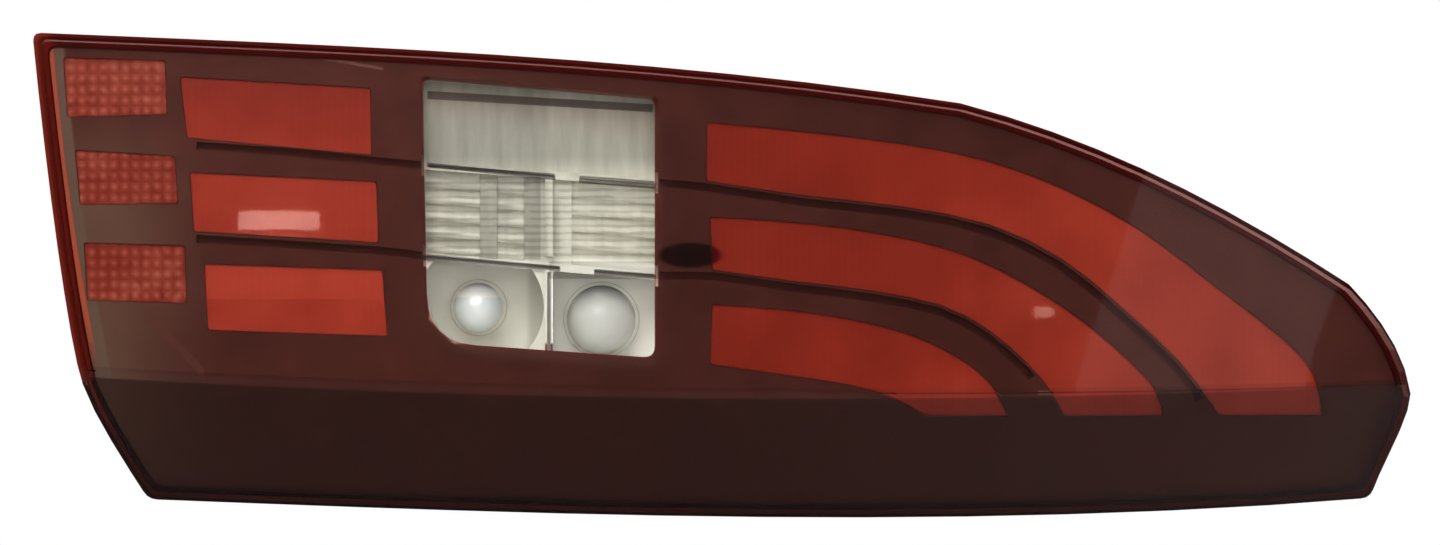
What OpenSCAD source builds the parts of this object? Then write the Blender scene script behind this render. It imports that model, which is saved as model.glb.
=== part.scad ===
// Rear lamp cluster of a car: a smoked red outer lens with a clear window, glued to a moulded housing,
// with three rows of lit red bars, three reflex reflectors, two bulbs and their LED boards inside.
// X is to the right seen from behind the car, Z is up and Y runs into the car body.
// The origin is the centre of the four mounting studs, on the plane where their collars meet the body.

/* [Lens outline] */
// Width of the lens, end to end
lens_w = 460; // [430:1:490]
// Height of the lens, edge to edge
lens_h = 161; // [150:1:172]
// From the lens's left end to the studs' centre, on the styling sheet
lens_left = 180; // [172:1:188]
// From the lens's lowest edge up to the studs' centre, on the styling sheet
lens_below = 78.5; // [74:0.5:82]
// How far the fillet of a sharp lens corner reaches along its edges
lens_corner = 3; // [1.5:0.5:5]

/* [Lens form] */
// Radius of the domed front, on a lens as wide as the styling sheet
front_r = 620; // [560:10:700]
// From the studs' plane to the foremost point of the lens
front_depth = 90; // [84:1:100]
// Slope of the lens below its crease, from upright, in degrees
lower_slope = 21; // [12:1:26]
// How much the crease drops towards the right, in degrees
crease_drop = 2; // [0:0.5:3]
// How much the crease climbs as the lens turns back, in degrees
crease_climb = 6.5; // [2:0.5:9]
// Wall of the lens
lens_wall = 2.8; // [2.2:0.2:3.4]
// Depth of the lens's side wall
skirt_depth = 20; // [17:0.5:24]
// Width of the foot that stands in the glue channel
foot_w = 2.2; // [1.6:0.2:2.8]
// How far the foot reaches behind the side wall
foot_reach = 6; // [4:0.5:8]

/* [Window] */
// Width of the clear window, on the styling sheet
window_w = 77; // [68:1:84]
// Height of the clear window, on the styling sheet
window_h = 87; // [78:1:92]
// From the lens's left end to the window, on the styling sheet
window_from_left = 129.7; // [126:0.1:136]
// From the lens's lowest edge up to the window's lower right corner, on the styling sheet
window_from_bottom = 52.7; // [50:0.1:58]
// Gap between the clear pane and the red lens round it
window_joint = 0.05; // [0.05:0.05:0.3]

/* [Bezel] */
// From the front of the lens to the front of the bezel
bezel_depth = 8; // [6:0.5:10]
// Wall of the bezel
bezel_wall = 2.4; // [1.8:0.2:3]
// Height of the dark shadow grooves
groove_h = 2.6; // [1.8:0.2:3.4]
// Depth of the shadow grooves
groove_depth = 4.8; // [3:0.2:6]
// Wall round the grooves
groove_wall = 1; // [0.8:0.1:1.4]

/* [Light bars] */
// How far the bars lie behind the bezel's face
bar_recess = 1.2; // [0.6:0.2:2]
// Thickness of the red bars
bar_thick = 4.8; // [4.8:0.1:6]
// Gap all round a bar
bar_gap = 0.2; // [0.15:0.05:0.5]
// Ledge that each bar sits on
bar_ledge = 1.5; // [1:0.1:2]
// Depth of the light boxes behind the bezel's face
box_depth = 18; // [16:1:22]
// Wall and floor of the light boxes
box_wall = 2; // [1.6:0.2:2.6]
// Thickness of the LED boards
board_thick = 1.2; // [0.8:0.2:1.6]
// Free space behind the LED boards
board_clear = 3.2; // [3:0.1:5]
// Side of one square LED
led_side = 3; // [2:0.25:3.5]
// Height of one LED
led_h = 1; // [0.6:0.1:1.4]
// Number of LEDs behind each right-hand bar
right_led_count = 9; // [5:1:11]
// Number of LEDs behind each left-hand bar
left_led_count = 4; // [2:1:5]

/* [Reflex reflectors] */
// Front skin of a reflex reflector
reflex_skin = 2; // [1.4:0.2:2.6]
// Distance between two prisms
prism_pitch = 3.6; // [3:0.2:5]
// Height of a prism
prism_h = 1.6; // [1:0.1:2]
// Depth of a reflex reflector's frame
reflex_depth = 5.6; // [5:0.2:7]

/* [Reflector and bulbs] */
// Wall of the reflector
reflector_wall = 2; // [1.6:0.2:2.6]
// Depth of the reflector's plain upper trough behind the lens's front
trough_depth = 20; // [18:0.5:22]
// Radius of the reflector's two bowls
bowl_r = 24; // [23:0.5:25]
// From the studs' plane to the middle of the bowls
bowl_setback = 62; // [60:0.5:64]
// Number of scallops in one half of the middle row
scallop_count = 5; // [3:1:6]
// Radius of the silvered left bulb
turn_bulb_r = 8.2; // [7.5:0.1:8.8]
// Radius of the clear right bulb
reverse_bulb_r = 11.4; // [10.5:0.1:12]
// Radius of both bulb bases
base_r = 7.2; // [6.5:0.1:7.4]
// Free space round a bulb where it passes the reflector
bulb_clear = 1.2; // [0.8:0.1:1.6]
// How far a bulb's tip reaches in front of the studs' plane
bulb_reach = 64; // [60:1:68]
// Gap between the flanges of the two bulb holders
holder_gap = 3; // [2:0.5:5]
// How far a holder's flange reaches past its body
flange_lip = 4; // [3.5:0.25:5]
// Width of the dark slots in the reflector
slot_w = 1.2; // [0.8:0.1:1.4]

/* [Housing] */
// Wall of the housing
housing_wall = 2.5; // [2:0.1:3]
// Depth of the glue channel's walls in front of its floor
channel_depth = 7; // [6.5:0.25:9]
// Wall of the glue channel
channel_wall = 1.3; // [1:0.1:1.6]
// How far the deep bucket's sides lean in over its whole height
bucket_draft = 5; // [3:0.5:7]
// Height of the ribs on the back of the wing
rib_h = 6; // [3:0.5:8]
// Thickness of the ribs
rib_thick = 2; // [1.5:0.25:2.5]
// Distance between two ribs
rib_pitch = 18; // [14:1:24]

/* [Mounts] */
// Distance between the studs, left to right, on the styling sheet
stud_span_x = 190; // [180:1:200]
// Distance between the studs, top to bottom, on the styling sheet
stud_span_z = 54; // [50:1:56]
// Radius of a stud
stud_r = 3; // [2.5:0.5:4]
// Free length of a stud
stud_length = 24; // [18:1:32]
// Thickness of the collar that meets the body
collar_h = 3; // [2:0.5:4]
// Radius of the boss under a stud
boss_r = 8; // [7.5:0.25:8.5]
// Radius of the locating pin on the wing
pin_r = 4; // [3:0.25:5]
// Free length of the locating pin
pin_length = 16; // [12:1:20]
// Thickness of the foam gasket once it is squeezed
gasket_thick = 4.5; // [4:0.25:6]
// Width of the foam gasket
gasket_w = 7; // [5:0.5:7.5]

/* [Connector and driver] */
// Inside width of the connector
socket_w = 26; // [24:1:30]
// Inside height of the connector
socket_h = 12; // [10:1:14]
// Wall of the connector
socket_wall = 1.6; // [1.2:0.2:2]
// How far the connector stands behind the studs' plane
socket_reach = 12; // [10:1:16]
// Number of terminals
terminal_count = 6; // [4:1:8]
// Width of the LED driver
driver_w = 40; // [36:1:44]
// Height of the LED driver
driver_h = 46; // [42:1:52]
// How far the LED driver's case stands behind the rear wall
driver_thick = 12; // [10:0.5:15]

/* [Hidden] */
$fn = 48;
ROUND_FORM = 200;
// Size of the sheet that the styling lines are drawn on, from the lens's lower left
SHEET = [460, 161];

// Points of the styling sheet
function sheet_x(a) = (a - lens_left) * lens_w / SHEET[0];
function sheet_z(b) = (b - lens_below) * lens_h / SHEET[1];
function at(p) = [sheet_x(p[0]), sheet_z(p[1])];
function on_sheet(points) = [for (p = points) at(p)];

// Curves
function reversed(list) = [for (i = [len(list) - 1:-1:0]) list[i]];
function bezier(c, t) = pow(1 - t, 3) * c[0] + 3 * pow(1 - t, 2) * t * c[1]
    + 3 * (1 - t) * t * t * c[2] + pow(t, 3) * c[3];
function bezier_run(c, steps) = [for (i = [0:steps - 1]) bezier(c, i / steps)];
function through(a, b, c, d, t) = 0.5 * (2 * b + (c - a) * t + (2 * a - 5 * b + 4 * c - d) * t * t
    + (3 * b - a - 3 * c + d) * t * t * t);
function spline(k, steps) = let (last = len(k) - 1) concat(
    [for (i = [0:last - 1], j = [0:steps - 1])
        through(i == 0 ? 2 * k[0] - k[1] : k[i - 1], k[i], k[i + 1],
            i + 2 > last ? 2 * k[last] - k[last - 1] : k[i + 2], j / steps)],
    [k[last]]);

// Outlines moved inwards, or outwards with a negative distance, and outlines with softened corners
function unit(v) = v / norm(v);
function area(p, i = 0) = i == len(p) ? 0
    : cross(p[i], p[(i + 1) % len(p)]) / 2 + area(p, i + 1);
function inward(a, b, side) = let (v = unit(b - a)) side * [-v[1], v[0]];
function inset(p, d) = let (n = len(p), side = sign(area(p))) [for (i = [0:n - 1])
    let (one = inward(p[(i + n - 1) % n], p[i], side), two = inward(p[i], p[(i + 1) % n], side))
    p[i] + d * (one + two) / (1 + one * two)];
function blend_corner(a, b, c, r, steps) = let (from = b + r * unit(a - b), to = b + r * unit(c - b))
    [for (i = [0:steps]) let (t = i / steps) pow(1 - t, 2) * from + 2 * (1 - t) * t * b + t * t * to];
function is_corner(a, b, c) = unit(b - a) * unit(c - b) < 0.88;
function soften(p, r, steps = 3) = let (n = len(p)) [for (i = [0:n - 1])
    let (a = p[(i + n - 1) % n], c = p[(i + 1) % n])
    each (is_corner(a, p[i], c) ? blend_corner(a, p[i], c, is_list(r) ? r[i] : r, steps) : [p[i]])];
function stroke(line, w) = let (n = len(line), across = [for (i = [0:n - 1])
        let (v = unit(line[min(i + 1, n - 1)] - line[max(i - 1, 0)])) [-v[1], v[0]] * w / 2])
    concat([for (i = [0:n - 1]) line[i] + across[i]], [for (i = [n - 1:-1:0]) line[i] - across[i]]);

// The lens's outline
outline_sheet = concat(
    bezier_run([[0, 160.7], [103, 156.2], [206, 153], [308.3, 137.3]], 12),
    bezier_run([[308.3, 137.3], [355, 125.4], [398.6, 103], [439, 77]], 9),
    bezier_run([[439, 77], [448.7, 67], [458, 54.5], [460, 40.3]], 5),
    bezier_run([[460, 40.3], [460, 32], [451, 18], [446.5, 5.3]], 5),
    bezier_run([[446.5, 5.3], [310, -5], [174, 0.6], [38.5, 5.7]], 12),
    bezier_run([[38.5, 5.7], [31, 17.5], [20.8, 33], [17, 44]], 4),
    bezier_run([[17, 44], [12.5, 57], [5, 112], [0, 160.7]], 8));
function outline(d) = soften(inset(on_sheet(outline_sheet), d), lens_corner);

// Outlines of the window, the bars and the reflex reflectors
window_slope = 6.7;
window_corners = [2.5, 2.5, 4, 16];
window_rise = 5.3;
window_lean = 1.8;
window_right = window_from_left + window_w;
window_top = window_from_bottom + window_h + window_rise;
window_sheet = [[window_from_left, window_top], [window_right, window_top - window_slope],
    [window_right, window_from_bottom], [window_from_left + window_lean, window_from_bottom + window_rise]];
function window_outline(d) = soften(inset(on_sheet(window_sheet), d), window_corners, 6);
right_bars = [
    [[[224, 130.7], [255, 127.7], [288.3, 123.7], [316, 118.3], [341.7, 109], [368.3, 95], [395, 75],
        [417, 58], [426.5, 47], [429.7, 33.7]],
        [[223.7, 111.5], [255, 106.7], [288.3, 103], [317.7, 97], [341.7, 85.7], [361.7, 69.7],
        [381.7, 51], [395, 33.7]]],
    [[[225, 99.3], [255, 97.3], [281.7, 93.7], [308.3, 87.3], [331, 76.3], [349.7, 64], [366.7, 49.3],
        [373.5, 41], [375.7, 33.7]],
        [[225.7, 82], [251.7, 78.3], [278.3, 75], [301.7, 70.2], [317.7, 61.8], [331, 50.3],
        [339, 40.5], [342.7, 33.7]]],
    [[[225.7, 70.3], [251.7, 68.3], [273, 65], [291, 60.3], [306.7, 53], [317.7, 44.3],
        [323.7, 33.7]],
        [[225, 50.7], [248.3, 47.3], [271.7, 43.7], [286.7, 39.3], [296.7, 33.7]]]];
left_bars = [
    [[49.3, 145.7], [112.3, 142], [112.7, 120], [51.7, 125.7]],
    [[52.7, 114], [114.3, 111], [115, 91], [54, 94.7]],
    [[57.5, 83.7], [116.3, 81.7], [118, 60], [58.7, 62]]];
reflexes = [
    [[10.3, 152.3], [44.3, 151.3], [45, 133.3], [11.7, 132.3]],
    [[14.3, 121.7], [47.7, 119.7], [48.7, 103.7], [16, 103.3]],
    [[17.3, 91], [51, 90], [51.7, 70.7], [18.5, 71.7]]];
BAR_CORNER = 1;
function right_bar_sheet(row) = concat(spline(right_bars[row][0], 2),
    reversed(spline(right_bars[row][1], 2)));
function right_bar(row, d) = soften(inset(on_sheet(right_bar_sheet(row)), d), BAR_CORNER);
function left_bar(row, d) = soften(inset(on_sheet(left_bars[row]), d), BAR_CORNER);
function reflex(row, d) = soften(inset(on_sheet(reflexes[row]), d), BAR_CORNER);

// Middle lines of the two shadow grooves, from the left bars across the window to the right bars' ends
groove_lines = [
    [[54.7, 123], [85, 120.8], [112.7, 118], [131.7, 116.3], [168.3, 113.3], [206.7, 110.7],
        [223.7, 109.2], [255, 104.4], [288.3, 100.7], [317.2, 94.7], [340.5, 83.6], [360.1, 68],
        [380, 49.3], [388.2, 38.8]],
    [[54.7, 92.2], [85, 90.2], [115, 88.2], [131.7, 86.3], [158.3, 84], [185, 81.7], [206.7, 79.9],
        [225.7, 79.7], [251.7, 76], [278.3, 72.7], [300.9, 68], [316.2, 60.1], [329.3, 48.8],
        [331.6, 46]]];
function groove(row, w) = stroke(on_sheet(spline(groove_lines[row], 2)), w);

// Outlines of the light boxes, the deep bucket and its gasket
left_box_sheet = [[47.3, 147.8], [120.8, 143.8], [121, 57.6], [56.2, 59.6]];
right_box_sheet = concat([[221.4, 133]], spline([[255, 130.2], [289, 126.2], [317, 120.6],
    [343, 111.4], [370, 97], [397, 76.8], [419.5, 59.6], [429.4, 48], [432.2, 31.2]], 2),
    [[292, 31.2], [221.4, 47.8]]);
bucket_sheet = [[17, 147], [130, 143], [230, 137.5], [296, 126], [336, 106], [338, 14], [55, 14],
    [33, 36], [25, 66]];
function left_box(d) = soften(inset(on_sheet(left_box_sheet), d), BAR_CORNER);
function right_box(d) = soften(inset(on_sheet(right_box_sheet), d), BAR_CORNER);
BUCKET_CORNER = 9;
function bucket(d) = soften(inset(on_sheet(bucket_sheet), d), BUCKET_CORNER);

// Play between pieces
SEAT = 0.05;
GLUE_PLAY = 0.3;
INNER_PLAY = 0.7;

// Depths, as distances behind the lens's front
bezel_back = bezel_depth + bezel_wall;
bar_front = bezel_depth + bar_recess;
bar_back = bar_front + bar_thick;
box_back = bezel_depth + box_depth;
board_front = box_back + 2 * SEAT;
board_back = board_front + board_thick;

// Distances from the lens's edge inwards, and behind its front along Y
FOOT_OVERLAP = 0.8;
CHANNEL_FLOOR = 2;
foot_out = lens_wall - FOOT_OVERLAP;
foot_in = foot_out + foot_w;
channel_gap_out = foot_out - GLUE_PLAY;
channel_out = channel_gap_out - channel_wall;
channel_gap_in = foot_in + INNER_PLAY;
channel_in = channel_gap_in + CHANNEL_FLOOR;
channel_top = skirt_depth + GLUE_PLAY;
channel_floor = channel_top + channel_depth;
channel_back = channel_floor + CHANNEL_FLOOR;
foot_end = skirt_depth + foot_reach;
tray_floor = board_back + board_clear;
tray_back = tray_floor + housing_wall;
rear_y = -gasket_thick;
rear_inner_y = rear_y - housing_wall;
FAR = 90;
reflex_back = bar_front + reflex_depth;
POCKET_WALL = 1.4;
REFLEX_WALL = 1.4;
PRISM_EDGE = 0.7;
GROOVE_SIDE = 2;
SCREW_R = 1.1;
SCREW_LENGTH = 10;
SCREW_HEAD_R = 2.4;
SCREW_HEAD_H = 1.6;
SCREW_BOSS_R = 2.6;
SCREW_KEY_R = 1.2;
RIM_W = 2.6;
left_screws = [[62, 119.2], [104, 116.2], [64, 88.7], [107, 86.8]];
right_screws = [[240, 104], [300, 95], [355.7, 66.9], [240, 74.7], [312.2, 57.4]];

// The domed front: a sphere, cut below the crease by a cone whose axis leans
form_x = sheet_x(120);
form_z = sheet_z(58.5);
form_r = front_r * lens_w / SHEET[0];
form_y = form_r - front_depth;
crease_z = sheet_z(43.8) - form_z;
module form(d = 0, shift = 0) {
    level = (crease_z + form_r * tan(crease_climb)) * cos(crease_climb);
    slope = lower_slope - crease_climb;
    crease_r = sqrt(form_r * form_r - level * level) - d / cos(slope);
    reach = lens_h;
    translate([form_x, form_y + shift, form_z]) rotate([crease_climb, crease_drop, 0])
        rotate_extrude($fn = ROUND_FORM) intersection() {
            circle(r = form_r - d, $fn = ROUND_FORM);
            polygon([[0, level - reach], [crease_r - reach * tan(slope), level - reach],
                [crease_r + reach * tan(slope), level + reach], [0, level + reach]]);
        }
}

// Depth of the domed front at a place above the crease
function dome_y(p, d) = form_y - sqrt(pow(form_r - d, 2) - pow(p[0] - form_x, 2) - pow(p[1] - form_z, 2));

// Puts a thing on the dome, at depth d, with its own +Z pointing out of the lamp
module on_dome(p, d) {
    out = [p[0] - form_x, dome_y(p, d) - form_y, p[1] - form_z];
    translate([p[0], dome_y(p, d), p[1]])
        rotate([0, 0, atan2(out[1], out[0]) + 90]) rotate([acos(out[2] / norm(out)), 0, 0]) children();
}

// A prism of an outline, through the lamp's depth
module along_y(points, from = -front_depth - 10, to = FAR) {
    translate([0, to, 0]) rotate([90, 0, 0]) linear_extrude(to - from) polygon(points);
}

// What an outline cuts from the lamp between two depths behind the front
module layer(points, from, to) {
    difference() {
        intersection() {
            along_y(points);
            form(from);
        }
        form(to);
    }
}

// The same between two distances along Y
module step_layer(points, from, to) {
    difference() {
        intersection() {
            along_y(points);
            form(0, from);
        }
        form(0, to);
    }
}

module ring_layer(outer, inner, from, to) {
    difference() {
        step_layer(outline(outer), from, to);
        along_y(outline(inner));
    }
}

// A drafted block between two planes of Y: the outline leans in towards the back
module drafted(front_points, back_points, from, to) {
    n = len(front_points);
    polyhedron(
        concat([for (p = front_points) [p[0], from, p[1]]], [for (p = back_points) [p[0], to, p[1]]]),
        concat([[for (i = [0:n - 1]) i]], [[for (i = [0:n - 1]) 2 * n - 1 - i]],
            [for (i = [0:n - 1]) [n + i, n + (i + 1) % n, (i + 1) % n, i]]));
}

// Outer lens and its clear pane
module outer_lens() {
    color([0.3, 0.04, 0.03, 0.75]) difference() {
        union() {
            difference() {
                step_layer(outline(0), 0, skirt_depth);
                intersection() {
                    along_y(outline(lens_wall));
                    form(lens_wall);
                }
            }
            ring_layer(foot_out, foot_in, skirt_depth - 4, foot_end);
        }
        along_y(window_outline(0));
    }
}

module clear_window() {
    color([0.9, 0.92, 0.92, 0.5]) layer(window_outline(window_joint), 0, lens_wall);
}

// Bead of glue round the lens's foot
module glue_bead() {
    color([0.08, 0.08, 0.08]) difference() {
        ring_layer(channel_gap_out + SEAT, channel_gap_in - SEAT, foot_end - 3, channel_floor - SEAT);
        ring_layer(foot_out - SEAT, foot_in + SEAT, foot_end - 4, foot_end + SEAT);
    }
}

// Bezel with openings for the bars, the window and the reflex reflectors
module bezel() {
    color([0.2, 0.19, 0.19]) difference() {
        union() {
            layer(outline(channel_gap_in), bezel_depth, bezel_back);
            difference() {
                intersection() {
                    along_y(outline(channel_gap_in));
                    form(bezel_depth);
                }
                along_y(outline(channel_in));
                form(0, channel_top - SEAT);
            }
            for (row = [0:1]) layer(groove(row, groove_h + 2 * GROOVE_SIDE), bezel_depth + 1,
                bezel_depth + groove_depth + groove_wall);
            for (row = [0:2]) layer(reflex(row, -POCKET_WALL), bezel_depth + 1,
                reflex_back + SEAT + POCKET_WALL);
            for (p = concat(left_screws, right_screws)) on_screw(p)
                translate([0, 0, board_back - box_back + box_wall + SEAT])
                    cylinder(r = SCREW_BOSS_R, h = box_back - box_wall - SEAT - bezel_depth - 1);
        }
        for (row = [0:1]) layer(groove(row, groove_h), bezel_depth - 1, bezel_depth + groove_depth);
        for (row = [0:2]) layer(reflex(row, 0), bezel_depth - 1, reflex_back + SEAT);
        for (row = [0:2]) along_y(left_bar(row, -bar_gap));
        for (row = [0:2]) along_y(right_bar(row, -bar_gap));
        along_y(window_outline(-1));
        screw_bores(concat(left_screws, right_screws), SCREW_R);
    }
}

// Red bars
module left_bar_top() { color([0.75, 0.1, 0.07]) layer(left_bar(0, 0), bar_front, bar_back); }
module left_bar_middle() { color([0.75, 0.1, 0.07]) layer(left_bar(1, 0), bar_front, bar_back); }
module left_bar_bottom() { color([0.75, 0.1, 0.07]) layer(left_bar(2, 0), bar_front, bar_back); }
module right_bar_top() { color([0.75, 0.1, 0.07]) layer(right_bar(0, 0), bar_front, bar_back); }
module right_bar_middle() { color([0.75, 0.1, 0.07]) layer(right_bar(1, 0), bar_front, bar_back); }
module right_bar_bottom() { color([0.75, 0.1, 0.07]) layer(right_bar(2, 0), bar_front, bar_back); }

// Reflex reflectors: a cup with a sheet of pyramids on the inside of its front
function mix(a, b, t) = a * (1 - t) + b * t;
function cell(q, u, v) = mix(mix(q[0], q[1], u), mix(q[3], q[2], u), v);
module prisms(row) {
    q = inset(on_sheet(reflexes[row]), bar_gap + REFLEX_WALL + PRISM_EDGE);
    n = floor(norm(q[1] - q[0]) / prism_pitch);
    m = floor(norm(q[3] - q[0]) / prism_pitch);
    root = bar_front + reflex_skin;
    low = [for (j = [0:m], i = [0:n]) cell(q, i / n, j / m)];
    mid = [for (j = [0:m - 1], i = [0:n - 1]) cell(q, (i + 0.5) / n, (j + 0.5) / m)];
    w = n + 1;
    back = len(low);
    peak = 2 * len(low);
    polyhedron(
        concat([for (p = low) [p[0], dome_y(p, root - 0.5), p[1]]],
            [for (p = low) [p[0], dome_y(p, root), p[1]]],
            [for (p = mid) [p[0], dome_y(p, root + prism_h), p[1]]]),
        [for (face = concat(
            [for (j = [0:m - 1], i = [0:n - 1]) let (k = j * w + i) each [[k, k + w, k + 1],
                [k + 1, k + w, k + w + 1]]],
            [for (j = [0:m - 1], i = [0:n - 1]) let (k = back + j * w + i, t = peak + j * n + i)
                each [[k, k + 1, t], [k + 1, k + w + 1, t], [k + w + 1, k + w, t], [k + w, k, t]]],
            [for (i = [0:n - 1]) each [[i, i + 1, back + i + 1], [i, back + i + 1, back + i]]],
            [for (i = [0:n - 1]) let (k = m * w + i) each [[k + 1, k, back + k],
                [k + 1, back + k, back + k + 1]]],
            [for (j = [0:m - 1]) let (k = j * w) each [[k + w, k, back + k],
                [k + w, back + k, back + k + w]]],
            [for (j = [0:m - 1]) let (k = j * w + n) each [[k, k + w, back + k + w],
                [k, back + k + w, back + k]]])) reversed(face)]);
}
module reflex_unit(row) {
    color([0.7, 0.12, 0.08]) {
        difference() {
            layer(reflex(row, bar_gap), bar_front, reflex_back);
            layer(reflex(row, bar_gap + REFLEX_WALL), bar_front + reflex_skin, reflex_back + 1);
        }
        prisms(row);
    }
}
module reflex_top() { reflex_unit(0); }
module reflex_middle() { reflex_unit(1); }
module reflex_bottom() { reflex_unit(2); }

// Screws that clamp a board and its light box on the bezel's bosses, heads at the back
module on_screw(p) {
    middle = (bezel_back + board_back) / 2;
    on_dome(at(p), middle) translate([0, 0, middle - board_back]) children();
}
module screw_bores(points, r) {
    for (p = points) on_screw(p)
        translate([0, 0, -1]) cylinder(r = r, h = SCREW_LENGTH + 1 + SEAT, $fn = 24);
}
module light_screws() {
    color([0.6, 0.6, 0.62]) for (p = concat(left_screws, right_screws)) on_screw(p) {
        cylinder(r = SCREW_R - SEAT, h = SCREW_LENGTH, $fn = 24);
        difference() {
            translate([0, 0, -SCREW_HEAD_H - 2 * SEAT])
                cylinder(r = SCREW_HEAD_R, h = SCREW_HEAD_H, $fn = 24);
            translate([0, 0, -SCREW_HEAD_H - 2 * SEAT - 1]) cylinder(r = SCREW_KEY_R, h = 2, $fn = 6);
        }
        translate([0, 0, -3 * SEAT]) cylinder(r = SCREW_R - SEAT, h = 4 * SEAT, $fn = 24);
    }
}

// Light boxes: a tube behind each bar on a common back plate
module left_light_box() {
    color([0.85, 0.85, 0.83]) difference() {
        union() {
            layer(left_box(0), box_back - box_wall, box_back);
            for (row = [0:2]) layer(left_bar(row, bar_ledge - box_wall), bar_back + SEAT, box_back - 1);
        }
        for (row = [0:2]) along_y(left_bar(row, bar_ledge));
        screw_bores(left_screws, SCREW_R);
    }
}
module right_light_box() {
    color([0.85, 0.85, 0.83]) difference() {
        union() {
            layer(right_box(0), box_back - box_wall, box_back);
            for (row = [0:2]) layer(right_bar(row, bar_ledge - box_wall), bar_back + SEAT, box_back - 1);
        }
        for (row = [0:2]) along_y(right_bar(row, bar_ledge));
        screw_bores(right_screws, SCREW_R);
    }
}

// LED boards and LEDs
module left_led_board() {
    color([0.1, 0.3, 0.15]) difference() {
        layer(left_box(1), board_front, board_back);
        screw_bores(left_screws, SCREW_R);
    }
}
module right_led_board() {
    color([0.1, 0.3, 0.15]) difference() {
        layer(right_box(1), board_front, board_back);
        screw_bores(right_screws, SCREW_R);
    }
}
module led(p) {
    on_dome(p, board_front) translate([-led_side / 2, -led_side / 2, SEAT])
        cube([led_side, led_side, led_h]);
}
LED_START = 0.05;
LED_RUN = 0.8;
INNER_SHARE = 0.9;
function along(k, f) = let (s = f * (len(k) - 1), i = min(floor(s), len(k) - 2)) mix(k[i], k[i + 1], s - i);
module left_leds() {
    color([0.95, 0.9, 0.6]) for (row = [0:2], i = [0:left_led_count - 1])
        let (q = on_sheet(left_bars[row])) led(cell(q, (i + 0.5) / left_led_count, 0.5));
}
module right_leds() {
    color([0.95, 0.9, 0.6]) for (row = [0:2], i = [0:right_led_count - 1])
        let (f = LED_START + LED_RUN * i / (right_led_count - 1),
            q = mix(along(right_bars[row][0], f * INNER_SHARE), along(right_bars[row][1], f), 0.5))
            led(at(q));
}

// Reflector behind the clear window: a plain trough, a scalloped row and two bowls round the bulbs
DIVIDER = 171.5;
RIDGE = 1.3;
BOWL_END = -30;
BOWL_MOUTH = 16;
SHEET_TOP = 160;
SHEET_LOW = 30;
BESIDE = 20;
SCALLOP_TILT = 4.6;
TOP_SLOT_W = 2.2;
RIM_H = 2;
SCALLOP_SET = 3;
ridges = [[126.1, -0.0747], [97.5, -0.0853]];
bulbs = [[147.9, 69.3], [188.7, 65.3]];
bulb_r = [turn_bulb_r, reverse_bulb_r];
scallop_columns = [[[110, 148.7], [154.3, 163.3]], [[179, 240]]];
function ridge(row, a) = ridges[row][0] + ridges[row][1] * a;
function on_ridge(row, a0, a1) = [[a0, ridge(row, a0)], [a1, ridge(row, a1)]];
function band(a0, a1, top, low) = on_sheet([[a0, top < 0 ? SHEET_TOP : ridge(top, a0) - RIDGE],
    [a1, top < 0 ? SHEET_TOP : ridge(top, a1) - RIDGE],
    [a1, low > 1 ? SHEET_LOW : ridge(low, a1) + RIDGE], [a0, low > 1 ? SHEET_LOW : ridge(low, a0) + RIDGE]]);
function column(c) = on_sheet([[c[0], SHEET_TOP], [c[1], SHEET_TOP], [c[1], SHEET_LOW], [c[0], SHEET_LOW]]);
half_from = [window_from_left - BESIDE, DIVIDER + RIDGE];
half_to = [DIVIDER - RIDGE, window_right + BESIDE];
slot_depth = trough_depth - SCALLOP_SET;
slots = [[[[131.5, 139.8], [205.5, 135.7]], TOP_SLOT_W, trough_depth + reflector_wall / 2],
    [on_ridge(0, 131.7, 173.3), slot_w, slot_depth],
    [on_ridge(0, 181.7, 206.2), slot_w, slot_depth],
    [on_ridge(1, 131, 175), slot_w, slot_depth],
    [on_ridge(1, 186.7, 206.2), slot_w, slot_depth],
    [[[DIVIDER, 81], [DIVIDER, 55]], slot_w, slot_depth]];
module framed(grow) {
    intersection() {
        children();
        along_y(window_outline(-grow));
    }
}
module bowl_ball(side, r) {
    translate([at(bulbs[side])[0], -bowl_setback, at(bulbs[side])[1]]) rotate([0, 0, -90])
        sphere(r = r, $fn = 96);
}
module scallops(side) {
    a = mix(half_from[side], half_to[side], 0.5);
    top = sheet_z(ridge(0, a) - RIDGE);
    low = sheet_z(ridge(1, a) + RIDGE);
    pitch = (top - low) / scallop_count;
    for (i = [0:scallop_count - 1])
        on_dome([sheet_x(a), low + (i + 0.5) * pitch], trough_depth - SCALLOP_SET)
            rotate([0, 0, -SCALLOP_TILT]) rotate([0, 90, 0])
                cylinder(r = pitch * 0.56, h = window_w, center = true);
}
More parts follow.
